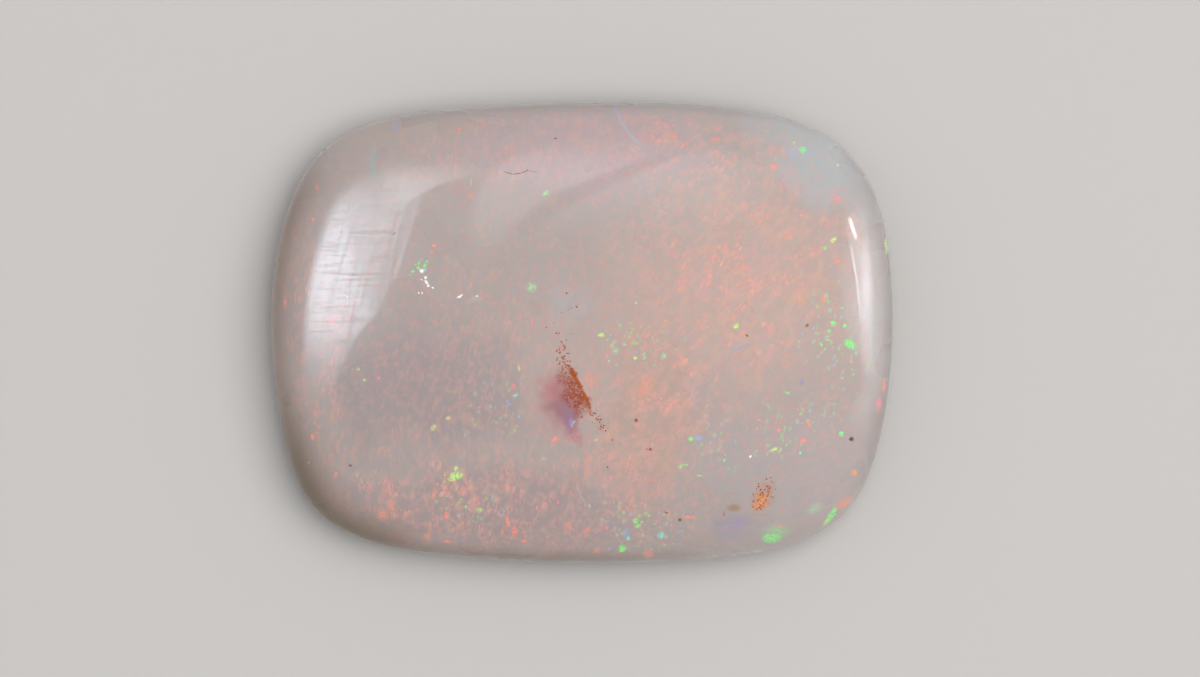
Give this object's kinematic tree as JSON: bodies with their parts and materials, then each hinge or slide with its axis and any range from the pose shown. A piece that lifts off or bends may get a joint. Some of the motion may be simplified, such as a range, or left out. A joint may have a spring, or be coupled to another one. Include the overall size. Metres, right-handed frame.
{
  "type": "polished opal cabochon",
  "caption": "Polished light opal cut as a large cushion cabochon: a low domed crown, a rounded girdle and a flat ground back that it rests on.",
  "frame": {"origin": "middle of the footprint, on the plane of the flat back that the stone rests on", "axes": "+Z out of the domed crown, +X along the stone's length, +Y across it, towards the upper side of the picture"},
  "size_m": [0.025, 0.0184, 0.0057],
  "materials": {
    "opal": "milky, faintly pink, highly polished, with small flecks of red, orange, green and blue play of colour"
  },
  "bodies": {
    "root": {"opal": "opal"}
  },
  "joints": []
}
